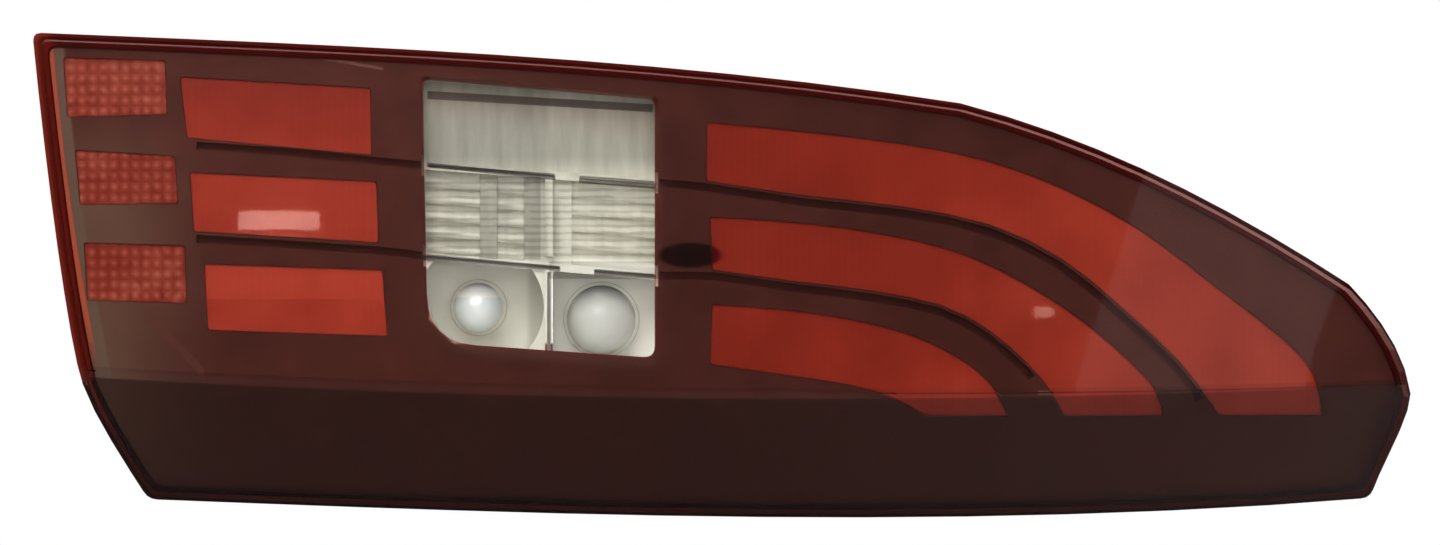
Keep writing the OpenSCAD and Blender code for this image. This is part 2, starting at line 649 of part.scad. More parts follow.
module reflector() {
    color([0.8, 0.8, 0.8]) difference() {
        union() {
            layer(window_outline(-RIM_W), bezel_back + SEAT, bezel_back + RIM_H);
            layer(window_outline(-reflector_wall), bezel_back + SEAT, trough_depth + reflector_wall);
            for (side = [0:1]) framed(reflector_wall) intersection() {
                bowl_ball(side, bowl_r + reflector_wall);
                along_y(band(half_from[0], half_to[1], 1, 2), -FAR, BOWL_END);
                form(trough_depth + 1);
            }
        }
        framed(0) layer(band(half_from[0], half_to[1], -1, 0), bezel_depth, trough_depth);
        for (side = [0:1]) {
            framed(0) layer(band(half_from[side], half_to[side], 0, 1), bezel_depth, trough_depth - 2);
            for (c = scallop_columns[side]) framed(0) intersection() {
                scallops(side);
                along_y(band(half_from[side], half_to[side], 0, 1));
                along_y(column(c));
            }
            framed(0) layer(band(half_from[side], half_to[side], 1, 2), bezel_depth, BOWL_MOUTH);
            framed(0) intersection() {
                bowl_ball(side, bowl_r);
                along_y(band(half_from[side], half_to[side], 1, 2));
            }
            rod(at(bulbs[side]), -bowl_setback, BOWL_END, bulb_r[side] + bulb_clear);
        }
        for (s = slots) framed(0) layer(stroke(on_sheet(s[0]), s[1]), bezel_depth, s[2]);
        for (row = [0:1]) layer(groove(row, groove_h + 2 * GROOVE_SIDE + 0.4), bezel_depth,
            bezel_depth + groove_depth + groove_wall + 0.2);
    }
}

// Round and square pieces along the lamp's depth
module rod(p, from, to, r, r_end = 0) {
    translate([p[0], from, p[1]]) rotate([-90, 0, 0])
        cylinder(r1 = r, r2 = r_end > 0 ? r_end : r, h = to - from);
}
module block(p, w, h, from, to) {
    translate([p[0] - w / 2, from, p[1] - h / 2]) cube([w, to - from, h]);
}

// Bulbs with their bases, twist-lock holders and seals
BULB_GLASS = 0.7;
neck_r = [4.6, 6.2];
NECK = [4.6, 1.6];
function base_front(side) = 2 * bulb_r[side] + NECK[side] - bulb_reach;
base_back = -16;
holder_front = -30;
SEAL_H = 2;
CONTACT_R = 3;
CONTACT_H = 1.5;
PIN_R = 1;
BASE_PIN = 3;
BASE_PIN_IN = 5;
HOLDER_WALL = 3;
HOLDER_OVERLAP = 2;
KEYWAY = [10, 2.4, 7];
FLANGE_H = 3;
KNOB_H = 10;
KNOB_STEP = 3;
KNOB_TAPER = 1;
GRIP_HALF = 3.5;
NOTCH = [2, 3.2, 2];
LUG = [4, 3, 6];
LUG_PLAY = 0.4;
TWIST = 40;
FILAMENT_W = 6;
FILAMENT_R = 0.6;
LEAD_R = 0.4;
PINCH_R = 3.2;
holder_at = [at(bulbs[0]), at(bulbs[1])];
holder_flange_r = (norm(holder_at[1] - holder_at[0]) - holder_gap) / 2;
holder_r = holder_flange_r - flange_lip;
module glass_form(side, d) {
    r = bulb_r[side] - d;
    translate([holder_at[side][0], -bulb_reach + bulb_r[side], holder_at[side][1]]) sphere(r = r);
    rod(holder_at[side], -bulb_reach + bulb_r[side], base_front(side) - SEAT + (d > 0 ? 1 : 0),
        neck_r[side] - d);
}
module bulb(side) {
    difference() {
        glass_form(side, 0);
        glass_form(side, BULB_GLASS);
    }
}
module bulb_base(side) {
    difference() {
        union() {
            rod(holder_at[side], base_front(side), base_back, base_r);
            for (turn = [0, 180])
                translate([holder_at[side][0], holder_front + BASE_PIN_IN, holder_at[side][1]])
                    rotate([0, turn, 0]) translate([base_r - 1, 0, 0]) rotate([0, 90, 0])
                        cylinder(r = PIN_R, h = BASE_PIN, $fn = 24);
        }
        rod(holder_at[side], base_front(side) - 1, base_front(side) + 3, neck_r[side] - BULB_GLASS - 0.1);
    }
    rod(holder_at[side], base_back - SEAT, base_back + CONTACT_H, CONTACT_R);
}
module holder(side) {
    c = holder_at[side];
    flange_back = rear_y + SEAL_H + FLANGE_H;
    color([0.2, 0.2, 0.21]) difference() {
        union() {
            rod(c, holder_front, base_back, base_r + HOLDER_WALL);
            rod(c, base_back - HOLDER_OVERLAP, rear_y + SEAL_H + SEAT + 0.5, holder_r);
            rod(c, rear_y + SEAL_H + SEAT, flange_back, holder_flange_r);
            rod(c, flange_back - 1, flange_back - 1 + KNOB_H, holder_r - KNOB_STEP,
                holder_r - KNOB_STEP - KNOB_TAPER);
            for (turn = [0, 120, 240]) translate([c[0], 0, c[1]]) rotate([0, turn, 0])
                translate([holder_r - LUG[0] / 2, rear_inner_y - LUG[1] - SEAT, -LUG[2] / 2]) cube(LUG);
            for (turn = [0:30:359]) translate([c[0], 0, c[1]]) rotate([0, turn, 0])
                translate([holder_flange_r - NOTCH[0] - 0.5, flange_back - 1, -NOTCH[2] / 2]) cube(NOTCH);
        }
        rod(c, holder_front - 1, base_back + CONTACT_H + 0.1, base_r + SEAT);
        block(c, 2 * base_r + KEYWAY[0], KEYWAY[1], holder_front - 1, holder_front + KEYWAY[2]);
        for (turn = [90, 270]) translate([c[0], 0, c[1]]) rotate([0, turn, 0])
            translate([GRIP_HALF, flange_back, -holder_r]) cube([holder_r, KNOB_H + 2, 2 * holder_r]);
    }
}
module holder_seal(side) {
    color([0.5, 0.12, 0.05]) difference() {
        rod(holder_at[side], rear_y + SEAT, rear_y + SEAL_H, holder_flange_r - 1);
        rod(holder_at[side], rear_y - 1, rear_y + SEAL_H + 1, holder_r + 0.1);
    }
}
module turn_bulb() { color([0.75, 0.78, 0.82, 0.9]) bulb(0); }
module turn_bulb_base() { color([0.8, 0.65, 0.3]) bulb_base(0); }
module turn_bulb_holder() { holder(0); }
module turn_holder_seal() { holder_seal(0); }
module reverse_bulb() { color([0.9, 0.92, 0.95, 0.5]) bulb(1); }
module reverse_bulb_base() { color([0.8, 0.65, 0.3]) bulb_base(1); }
module reverse_bulb_holder() { holder(1); }
module reverse_holder_seal() { holder_seal(1); }
module reverse_bulb_filament() {
    c = holder_at[1];
    coil_y = -bulb_reach + bulb_r[1] - 1;
    color([0.6, 0.6, 0.6]) {
        rod(c, base_front(1) - 1.5, base_front(1) + 2.9, PINCH_R);
        for (side = [-1, 1]) rod([c[0] + side * (FILAMENT_W - 1) / 2, c[1]], coil_y, base_front(1), LEAD_R);
        translate([c[0] - FILAMENT_W / 2, coil_y, c[1]]) rotate([0, 90, 0])
            cylinder(r = FILAMENT_R, h = FILAMENT_W, $fn = 24);
    }
}

// Mounts
studs = [for (i = [-1, 1], j = [-1, 1])
    at([lens_left + i * stud_span_x / 2, lens_below + j * stud_span_z / 2])];
STUD_ROOT = 11;
STUD_ROOT_R = 4;
pin_at = at([395, 43.5]);
PIN_STAND = 49.5;
PIN_SHOULDER = round(dome_y(pin_at, 0) + PIN_STAND);
PIN_BOSS_R = 7;
TIP = 1.5;
module mounting_studs() {
    color([0.65, 0.65, 0.67]) for (p = studs) {
        rod(p, -collar_h - STUD_ROOT, -collar_h + 0.5, STUD_ROOT_R - SEAT);
        rod(p, -collar_h + SEAT, 0, boss_r - 1.5);
        rod(p, -0.5, stud_length - TIP, stud_r);
        rod(p, stud_length - TIP, stud_length, stud_r, stud_r - TIP / 2);
    }
}

// Connector, vent and LED driver on the rear wall
GASKET_EDGE = 1.5;
CONNECTOR_CLEAR = 3.5;
connector_at = [sheet_x(23.4) + bucket_draft + GASKET_EDGE + gasket_w + CONNECTOR_CLEAR
    + socket_w / 2 + socket_wall, sheet_z(82)];
vent_at = at([112, 105]);
driver_at = at([242, 79]);
socket_floor = -2;
SHELL_LIP = 3;
SHELL_LIP_H = 2.5;
SHELL_PLAY = 0.2;
LATCH = [8, 1.3, 3];
KEY_RIB = [1.6, 1.3];
TERMINAL = [1.6, 0.8];
module connector_shell() {
    w = socket_w + 2 * socket_wall;
    h = socket_h + 2 * socket_wall;
    color([0.1, 0.1, 0.11]) difference() {
        union() {
            block(connector_at, w, h, rear_inner_y - 1, socket_reach);
            block(connector_at, w + 2 * SHELL_LIP, h + 2 * SHELL_LIP, rear_inner_y - SHELL_LIP_H,
                rear_inner_y - SEAT);
            block(connector_at + [0, h / 2 + 0.6], LATCH[0], LATCH[1], socket_reach - 2 - LATCH[2],
                socket_reach - 2);
            for (side = [-1, 1]) block(connector_at + [side * (w / 2 - 3), -h / 2 - 0.6], KEY_RIB[0],
                KEY_RIB[1], rear_y + 2, socket_reach - 1);
        }
        block(connector_at, socket_w, socket_h, socket_floor, socket_reach + 1);
        for (i = [0:terminal_count - 1]) block(terminal_at(i), TERMINAL[0] + SEAT * 2,
            TERMINAL[1] + SEAT * 2, rear_inner_y - 4, socket_floor + 1);
    }
}
TERMINAL_MARGIN = 4;
terminal_pitch = (socket_w - TERMINAL_MARGIN) / terminal_count;
function terminal_at(i) = connector_at + [(i - (terminal_count - 1) / 2) * terminal_pitch, 0];
module connector_terminals() {
    color([0.8, 0.7, 0.4]) for (i = [0:terminal_count - 1])
        block(terminal_at(i), TERMINAL[0], TERMINAL[1], rear_inner_y - 9, socket_reach - 3);
}
VENT_R = 7;
VENT_H = 3;
VENT_TAPER = 1;
VENT_STEM_R = 2.9;
VENT_BORE_R = 1.8;
VENT_SLOT = [2 * VENT_R + 2, 2.2, 1.2];
module vent_cap() {
    color([0.12, 0.12, 0.12]) difference() {
        union() {
            rod(vent_at, rear_inner_y - 2, rear_y + 1, VENT_STEM_R);
            rod(vent_at, rear_y + SEAT, rear_y + VENT_H, VENT_R);
            rod(vent_at, rear_y + VENT_H, rear_y + VENT_H + VENT_TAPER, VENT_R, VENT_R - VENT_TAPER);
        }
        rod(vent_at, rear_inner_y - 3, rear_y + 2, VENT_BORE_R);
        for (turn = [0:60:179]) translate([vent_at[0], 0, vent_at[1]]) rotate([0, turn, 0])
            translate([-VENT_SLOT[0] / 2, rear_y - 1, -VENT_SLOT[2] / 2]) cube(VENT_SLOT);
    }
}
DRIVER_PLATE = 2.5;
DRIVER_SEAL = 1;
DRIVER_RIM = 5;
DRIVER_EDGE = 3;
DRIVER_POST = 5;
DRIVER_POST_R = 2;
DRIVER_POST_EDGE = 9;
DRIVER_BOARD = 1.6;
DRIVER_SCREW_R = 1.5;
DRIVER_HEAD_R = 2.8;
DRIVER_KEY_R = 1.3;
FINS = 6;
FIN_W = 1.8;
FIN_EDGE = 7;
function driver_corners(edge) = [for (i = [-1, 1], j = [-1, 1])
    driver_at + [i * (driver_w / 2 - edge), j * (driver_h / 2 - edge)]];
driver_screws_at = driver_corners(DRIVER_EDGE);
driver_posts_at = driver_corners(DRIVER_POST_EDGE);
module driver_case() {
    fin_pitch = (driver_w - 2 * FIN_EDGE) / (FINS - 1);
    color([0.7, 0.7, 0.72]) difference() {
        union() {
            block(driver_at, driver_w, driver_h, rear_y + DRIVER_SEAL, rear_y + DRIVER_SEAL + DRIVER_PLATE);
            for (i = [0:FINS - 1]) block(driver_at + [(i - (FINS - 1) / 2) * fin_pitch, 0], FIN_W,
                driver_h - 2 * DRIVER_EDGE, rear_y + DRIVER_SEAL + 1, rear_y + driver_thick);
            for (p = driver_posts_at)
                rod(p, rear_inner_y - DRIVER_POST, rear_y + DRIVER_SEAL + 1, DRIVER_POST_R);
        }
        for (p = driver_screws_at) rod(p, rear_y, rear_y + driver_thick + 1, DRIVER_SCREW_R + 0.1);
        for (p = driver_screws_at)
            rod(p, rear_y + DRIVER_SEAL + DRIVER_PLATE, rear_y + driver_thick + 1, DRIVER_HEAD_R + 0.5);
    }
}
module driver_board() {
    front = rear_inner_y - DRIVER_POST - DRIVER_BOARD;
    margin = 2 * (DRIVER_RIM + 1);
    color([0.1, 0.35, 0.2]) {
        block(driver_at, driver_w - margin, driver_h - margin, front, front + DRIVER_BOARD - SEAT);
        block(driver_at + [-4, 8], 10, 8, front - 2, front + 0.1);
        block(driver_at + [5, -7], 8, 12, front - 4, front + 0.1);
        for (i = [0:3]) block(driver_at + [-8, -2 - i * 3.6], 4, 2, front - 1.2, front + 0.1);
        rod(driver_at + [7, 9], front - 7, front + 0.1, 3.5);
    }
}
module driver_seal() {
    color([0.1, 0.1, 0.1]) difference() {
        block(driver_at, driver_w - 1, driver_h - 1, rear_y + SEAT, rear_y + DRIVER_SEAL - SEAT);
        block(driver_at, driver_w - 2 * DRIVER_RIM - 0.5, driver_h - 2 * DRIVER_RIM - 0.5,
            rear_y - 1, rear_y + 2);
        for (p = driver_screws_at) rod(p, rear_y - 1, rear_y + 2, DRIVER_SCREW_R + 0.1);
    }
}
module driver_screws() {
    plate = rear_y + DRIVER_SEAL + DRIVER_PLATE;
    color([0.6, 0.6, 0.62]) for (p = driver_screws_at) difference() {
        union() {
            rod(p, rear_inner_y - DRIVER_POST + 1, plate + 0.5, DRIVER_SCREW_R - SEAT);
            rod(p, plate + SEAT, plate + 2, DRIVER_HEAD_R);
        }
        translate([p[0], plate + 0.8, p[1]]) rotate([-90, 0, 0])
            cylinder(r = DRIVER_KEY_R, h = 2, $fn = 6);
    }
}
module body_gasket() {
    color([0.15, 0.15, 0.15]) difference() {
        along_y(bucket(bucket_draft + GASKET_EDGE), rear_y + SEAT, 0);
        along_y(bucket(bucket_draft + GASKET_EDGE + gasket_w));
    }
}
BUCKET_FRONT = -75;

// Housing: glue channel, tray that follows the front, deep bucket behind it, bosses and ribs
module housing() {
    color([0.14, 0.14, 0.15]) difference() {
        union() {
            difference() {
                union() {
                    ring_layer(channel_out, channel_in, channel_top, channel_back);
                    difference() {
                        intersection() {
                            along_y(outline(channel_gap_in));
                            form(0, channel_top);
                        }
                        form(tray_back);
                    }
                    intersection() {
                        drafted(bucket(0), bucket(bucket_draft), BUCKET_FRONT, rear_y);
                        form(tray_floor + 0.5);
                    }
                    wing_ribs();
                }
                difference() {
                    along_y(outline(channel_gap_in + housing_wall));
                    form(tray_floor);
                }
                drafted(bucket(housing_wall), bucket(bucket_draft + housing_wall),
                    BUCKET_FRONT, rear_inner_y);
            }
            for (p = studs) rod(p, -collar_h - STUD_ROOT - 2, -collar_h, boss_r);
            for (p = driver_screws_at)
                rod(p, rear_inner_y - DRIVER_POST, rear_inner_y + 0.5, 2 * DRIVER_SCREW_R);
            intersection() {
                rod(pin_at, -FAR, PIN_SHOULDER, PIN_BOSS_R);
                form(tray_floor + 1);
            }
            rod(pin_at, PIN_SHOULDER - 1, PIN_SHOULDER + pin_length - TIP, pin_r);
            rod(pin_at, PIN_SHOULDER + pin_length - TIP, PIN_SHOULDER + pin_length, pin_r, pin_r - TIP);
        }
        ring_layer(channel_gap_out, channel_gap_in, channel_top - 1, channel_floor);
        for (p = studs) rod(p, -collar_h - STUD_ROOT - SEAT, 0, STUD_ROOT_R);
        for (side = [0:1]) {
            rod(holder_at[side], rear_inner_y - 2, 0, holder_r + 0.5);
            for (turn = [0, 120, 240]) translate([holder_at[side][0], 0, holder_at[side][1]])
                rotate([0, turn + TWIST, 0])
                    translate([holder_r - LUG[0] / 2, rear_inner_y - 2, -LUG[2] / 2 - LUG_PLAY])
                        cube([LUG[0] + 0.6, 6, LUG[2] + 2 * LUG_PLAY]);
        }
        block(connector_at, socket_w + 2 * (socket_wall + SHELL_PLAY),
            socket_h + 2 * (socket_wall + SHELL_PLAY), rear_inner_y - 1, 0);
        block(driver_at, driver_w - 2 * DRIVER_RIM, driver_h - 2 * DRIVER_RIM, rear_inner_y - 1, 0);
        for (p = driver_screws_at) rod(p, rear_inner_y - DRIVER_POST + 0.5, 0, DRIVER_SCREW_R);
        rod(vent_at, rear_inner_y - 1, 0, VENT_STEM_R + 0.1);
    }
}
RIBS_FROM = 352;
RIBS_TO = 434;
LONG_RIB_TO = 442;
LONG_RIB_AT = 60;
module wing_ribs() {
    first = sheet_x(RIBS_FROM);
    count = floor((sheet_x(RIBS_TO) - first) / rib_pitch);
    difference() {
        intersection() {
            translate([0, FAR, 0]) rotate([90, 0, 0]) linear_extrude(2 * FAR) intersection() {
                polygon(outline(channel_gap_in + 2));
                union() {
                    for (i = [0:count]) translate([first + i * rib_pitch, -lens_h])
                        square([rib_thick, 2 * lens_h]);
                    translate([first - 10, sheet_z(LONG_RIB_AT)])
                        square([sheet_x(LONG_RIB_TO) - first, rib_thick]);
                }
            }
            form(tray_back - 1);
        }
        form(tray_back + rib_h);
    }
}

outer_lens();
clear_window();
housing();
glue_bead();
bezel();
left_bar_top();
left_bar_middle();
left_bar_bottom();
right_bar_top();
right_bar_middle();
right_bar_bottom();
reflex_top();
reflex_middle();
reflex_bottom();
reflector();
left_light_box();
right_light_box();
left_led_board();
right_led_board();
left_leds();
right_leds();
light_screws();
turn_bulb();
turn_bulb_base();
turn_bulb_holder();
turn_holder_seal();
reverse_bulb();
reverse_bulb_filament();
reverse_bulb_base();
reverse_bulb_holder();
reverse_holder_seal();
connector_shell();
connector_terminals();
driver_case();
driver_board();
driver_seal();
driver_screws();
mounting_studs();
body_gasket();
vent_cap();
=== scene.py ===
"""The looks of a rear lamp cluster: finishes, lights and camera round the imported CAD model.

The frame is the CAD's own, in metres: X to the right as the photograph shows it, Y into the car, Z up.
The origin is the centre of the four mounting studs, on the plane where the lamp meets the body.
"""

import math

import bpy
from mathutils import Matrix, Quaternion, Vector


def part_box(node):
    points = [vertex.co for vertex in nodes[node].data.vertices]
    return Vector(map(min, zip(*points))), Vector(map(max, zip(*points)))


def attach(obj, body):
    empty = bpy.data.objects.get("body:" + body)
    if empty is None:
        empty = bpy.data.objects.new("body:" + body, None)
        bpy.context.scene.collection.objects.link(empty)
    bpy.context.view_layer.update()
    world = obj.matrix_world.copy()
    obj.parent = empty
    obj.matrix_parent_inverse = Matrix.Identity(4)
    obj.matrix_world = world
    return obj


MM = 0.001

# The photograph: its frame in pixels, its scale and where the studs' centre lies in it
PHOTO_W = 1440
PHOTO_H = 545
PIXELS_PER_MM = 3.0
ORIGIN_PX = (575.0, 280.0)

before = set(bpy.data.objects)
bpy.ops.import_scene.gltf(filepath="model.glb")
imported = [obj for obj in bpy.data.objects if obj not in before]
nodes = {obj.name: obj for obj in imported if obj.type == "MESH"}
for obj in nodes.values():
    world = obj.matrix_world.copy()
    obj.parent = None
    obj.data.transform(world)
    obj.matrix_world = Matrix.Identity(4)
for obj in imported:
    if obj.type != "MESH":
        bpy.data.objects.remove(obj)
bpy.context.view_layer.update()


def photo_point(px, py, y=0.0):
    """The place in the frame, in metres, of a pixel of the photograph, at depth y."""
    x = (px - ORIGIN_PX[0]) / PIXELS_PER_MM * MM
    z = (ORIGIN_PX[1] - py) / PIXELS_PER_MM * MM
    return Vector((x, y, z))


class Finish:
    """A material whose nodes are added one by one, with its Principled shader and output ready."""

    def __init__(self, name, colour, roughness, **sockets):
        self.material = bpy.data.materials.new(name)
        self.material.use_nodes = True
        self.tree = self.material.node_tree
        self.tree.nodes.clear()
        self.output = self.add("ShaderNodeOutputMaterial")
        self.shader = self.add("ShaderNodeBsdfPrincipled")
        self.shader.inputs["Base Color"].default_value = (*colour, 1.0)
        self.shader.inputs["Roughness"].default_value = roughness
        for socket, value in sockets.items():
            self.shader.inputs[socket.replace("_", " ")].default_value = value
        self.link(self.shader.outputs["BSDF"], self.output.inputs["Surface"])
        self.place = self.add("ShaderNodeTexCoord").outputs["Object"]

    def add(self, kind, **settings):
        """A new node of that kind, with its settings."""
        node = self.tree.nodes.new(kind)
        for key, value in settings.items():
            setattr(node, key, value)
        return node

    def link(self, source, target):
        self.tree.links.new(source, target)

    def noise(self, scale, detail=3.0, stretch=None):
        """Noise on Object coordinates, with scale in cycles per metre."""
        node = self.add("ShaderNodeTexNoise")
        node.inputs["Scale"].default_value = scale
        node.inputs["Detail"].default_value = detail
        self.link(self.stretched(stretch), node.inputs["Vector"])
        return node.outputs["Fac"]

    def stretched(self, stretch):
        """Object coordinates, scaled along each axis where a stretch is given."""
        if stretch is None:
            return self.place
        mapping = self.add("ShaderNodeMapping")
        mapping.inputs["Scale"].default_value = stretch
        self.link(self.place, mapping.inputs["Vector"])
        return mapping.outputs["Vector"]

    def waves(self, scale, direction, profile="SIN", distortion=0.0):
        """Straight bands across one axis, with scale in bands per metre."""
        node = self.add("ShaderNodeTexWave", bands_direction=direction, wave_profile=profile)
        node.inputs["Scale"].default_value = scale * math.pi / 10
        node.inputs["Distortion"].default_value = distortion
        self.link(self.place, node.inputs["Vector"])
        return node.outputs["Fac"]

    def spread(self, value, low, high):
        """A value from 0 to 1 mapped to low to high."""
        node = self.add("ShaderNodeMapRange")
        node.inputs["To Min"].default_value = low
        node.inputs["To Max"].default_value = high
        self.link(value, node.inputs["Value"])
        return node.outputs["Result"]

    def ramp(self, value, *stops):
        """Colours along a value, each stop a place and a colour."""
        node = self.add("ShaderNodeValToRGB")
        elements = node.color_ramp.elements
        while len(elements) < len(stops):
            elements.new(0.5)
        for element, (place, colour) in zip(elements, stops):
            element.position = place
            element.color = (*colour, 1.0)
        self.link(value, node.inputs["Fac"])
        return node.outputs["Color"]

    def blend(self, share, first, second, how="MIX"):
        """Two colours mixed by a share from 0 to 1, or the first one multiplied by the second."""
        node = self.add("ShaderNodeMix", data_type="RGBA", blend_type=how)
        self.link(share, node.inputs["Factor"])
        for index, colour in ((6, first), (7, second)):
            if isinstance(colour, tuple):
                node.inputs[index].default_value = (*colour, 1.0)
            else:
                self.link(colour, node.inputs[index])
        return node.outputs[2]

    def maths(self, operation, first, second=0.0):
        """One operation of Blender's Math node on two values or sockets."""
        node = self.add("ShaderNodeMath", operation=operation)
        for index, value in enumerate((first, second)):
            if isinstance(value, (int, float)):
                node.inputs[index].default_value = value
            else:
                self.link(value, node.inputs[index])
        return node.outputs[0]

    def axes(self):
        """X, Y and Z of a place on the lamp, in metres."""
        node = self.add("ShaderNodeSeparateXYZ")
        self.link(self.place, node.inputs["Vector"])
        return node.outputs["X"], node.outputs["Y"], node.outputs["Z"]

    def fade(self, value, low, high):
        """0 on the side of low, 1 on the side of high, and a smooth slope between them."""
        node = self.add("ShaderNodeMapRange", interpolation_type="SMOOTHSTEP")
        node.inputs["From Min"].default_value = low
        node.inputs["From Max"].default_value = high
        self.link(value, node.inputs["Value"])
        return node.outputs["Result"]

    def within(self, value, low, high, soft):
        """1 between low and high, with soft ends."""
        return self.maths("MULTIPLY", self.fade(value, low - soft, low), self.fade(value, high + soft, high))

    def polynomial(self, value, constant, linear, square):
        """constant + linear * value + square * value * value."""
        slope = self.maths("ADD", self.maths("MULTIPLY", value, square), linear)
        return self.maths("ADD", self.maths("MULTIPLY", value, slope), constant)

    def on_line(self, start, end, width):
        """1 on a straight line of the front view, between two places given in metres."""
        x, _, z = self.axes()
        slope = (end.z - start.z) / (end.x - start.x)
        line = self.polynomial(x, start.z - slope * start.x, slope, 0.0)
        off = self.maths("ABSOLUTE", self.maths("SUBTRACT", z, line))
        return self.maths("MULTIPLY", self.fade(off, width / 2 + 0.2 * MM, width / 2 - 0.1 * MM),
                          self.within(x, start.x, end.x, 0.5 * MM))

    def oval(self, centre, half_width, half_height):
        """1 inside an oval of the front view."""
        x, _, z = self.axes()
        across = self.maths("DIVIDE", self.maths("SUBTRACT", x, centre.x), half_width)
        up = self.maths("DIVIDE", self.maths("SUBTRACT", z, centre.z), half_height)
        far = self.maths("ADD", self.maths("MULTIPLY", across, across), self.maths("MULTIPLY", up, up))
        return self.fade(far, 1.3, 0.7)

    def below_crease(self):
        """1 below the crease of the lens, as the front view shows it."""
        x, _, z = self.axes()
        return self.fade(self.maths("SUBTRACT", self.polynomial(x, *CREASE), z), -0.3 * MM, 0.5 * MM)

    def from_left_end(self):
        """How far a place lies to the right of the lens's left end, in metres."""
        x, _, z = self.axes()
        return self.maths("SUBTRACT", x, self.polynomial(z, *LEFT_END))

    def from_dome_centre(self):
        """Distance to the centre of the sphere that the lens's front follows."""
        node = self.add("ShaderNodeVectorMath", operation="DISTANCE")
        node.inputs[1].default_value = DOME_CENTRE
        self.link(self.place, node.inputs[0])
        return node.outputs["Value"]

    def colour(self, source):
        self.link(source, self.shader.inputs["Base Color"])

    def roughness(self, source):
        self.link(source, self.shader.inputs["Roughness"])

    def bump(self, height, distance, strength=1.0):
        """Relief of that depth, in metres, from a value between 0 and 1."""
        node = self.add("ShaderNodeBump")
        node.inputs["Strength"].default_value = strength
        node.inputs["Distance"].default_value = distance
        self.link(height, node.inputs["Height"])
        self.link(node.outputs["Normal"], self.shader.inputs["Normal"])

    def dress(self, *pieces):
        """Give pieces this material alone."""
        for piece in pieces:
            piece.data.materials.clear()
            piece.data.materials.append(self.material)


# The sphere of the domed front, in metres, and how far behind it the frosting and the reflector's front lie
DOME_CENTRE = (-0.06, 0.53, -0.02)
DOME_RADIUS = 0.62
FROSTED_FROM = DOME_RADIUS - 8 * MM
FROSTED_FULLY = DOME_RADIUS - 12 * MM
REFLECTOR_FRONT = (DOME_RADIUS - 13 * MM, DOME_RADIUS - 12 * MM)

# The crease's height along X, and the left end's place along Z: constant, slope and curve, in metres
CREASE = (-0.03818, -0.0204, 0.1218)
LEFT_END = (-0.16957, -0.1717, 0.546)

# The dark oval of painted shade beside the window: its centre and half its width and height
PAINTED_DARK_SPOT = (photo_point(690, 255.5), 10.5 * MM, 4.2 * MM)

# The tints that light takes on in the two lens plastics, and the glow of the red one where it is frosted,
# painted brighter at its left end
RED_TINT = (0.54, 0.33, 0.30)
CLEAR_TINT = (0.97, 0.97, 0.955)
FROSTED_RED = (0.2, 0.024, 0.018)
PAINTED_LEFT_GLOW = (0.42, 0.075, 0.045)


# How deep the mould's slow ripple is on the lens, in metres
LENS_RIPPLE = 0.0001


def clear_plastic(name, tint):
    """A see-through moulding: it refracts what the eye sees, and only tints the light that falls in."""
    finish = Finish(name, tint, 0.03, IOR=1.49, Transmission_Weight=1.0,
                    Specular_IOR_Level=0.2, Specular_Tint=(0.16, 0.16, 0.16, 1.0))
    finish.roughness(finish.spread(finish.noise(90, 4), 0.01, 0.04))
    finish.bump(finish.noise(18, 2), LENS_RIPPLE, 0.35)
    passing = finish.add("ShaderNodeBsdfTransparent")
    passing.inputs["Color"].default_value = (*[math.sqrt(t) for t in tint], 1.0)
    either = finish.add("ShaderNodeMixShader")
    path = finish.add("ShaderNodeLightPath")
    finish.link(path.outputs["Is Shadow Ray"], either.inputs["Fac"])
    finish.link(finish.shader.outputs["BSDF"], either.inputs[1])
    finish.link(passing.outputs["BSDF"], either.inputs[2])
    finish.link(either.outputs["Shader"], finish.output.inputs["Surface"])
    return finish


def frosted_sides(finish, tint):
    """Frosting on the lens's side wall and foot, which glow red with the light that the front lets in, and a
    painted glow at the lens's left end.
    """
    facing = finish.add("ShaderNodeSeparateXYZ")
    finish.link(finish.add("ShaderNodeNewGeometry").outputs["True Normal"], facing.inputs["Vector"])
    side = finish.fade(finish.maths("ABSOLUTE", facing.outputs["Y"]), 0.74, 0.66)
    behind = finish.fade(finish.from_dome_centre(), FROSTED_FROM, FROSTED_FULLY)
    behind = finish.maths("MULTIPLY", behind, finish.maths("SUBTRACT", 1.0, finish.below_crease()))
    side = finish.maths("MAXIMUM", side, behind)
    # Painted glow: the frosting lighter at the lens's left end
    left_glow = finish.fade(finish.from_left_end(), 9 * MM, 4 * MM)
    frosted = finish.blend(left_glow, FROSTED_RED, PAINTED_LEFT_GLOW)
    finish.colour(finish.blend(side, tint, frosted))
    finish.link(finish.spread(side, 1.0, 0.15), finish.shader.inputs["Transmission Weight"])
    finish.link(finish.spread(side, 0.2, 0.0), finish.shader.inputs["Specular IOR Level"])
    polish = finish.spread(finish.noise(90, 4), 0.01, 0.04)
    finish.roughness(finish.maths("ADD", polish, finish.maths("MULTIPLY", side, 0.4)))
    return finish


# Painted glints on the bezel: lines of the front view with their widths and colours
PAINTED_GLINTS = (
    ((292, 54), (384, 70), 0.9, (0.4, 0.45, 0.4)),
    ((152, 316), (206, 372), 4.0, (0.19, 0.17, 0.14)),
    ((1038, 392), (1100, 392), 0.9, (0.55, 0.6, 0.42)))


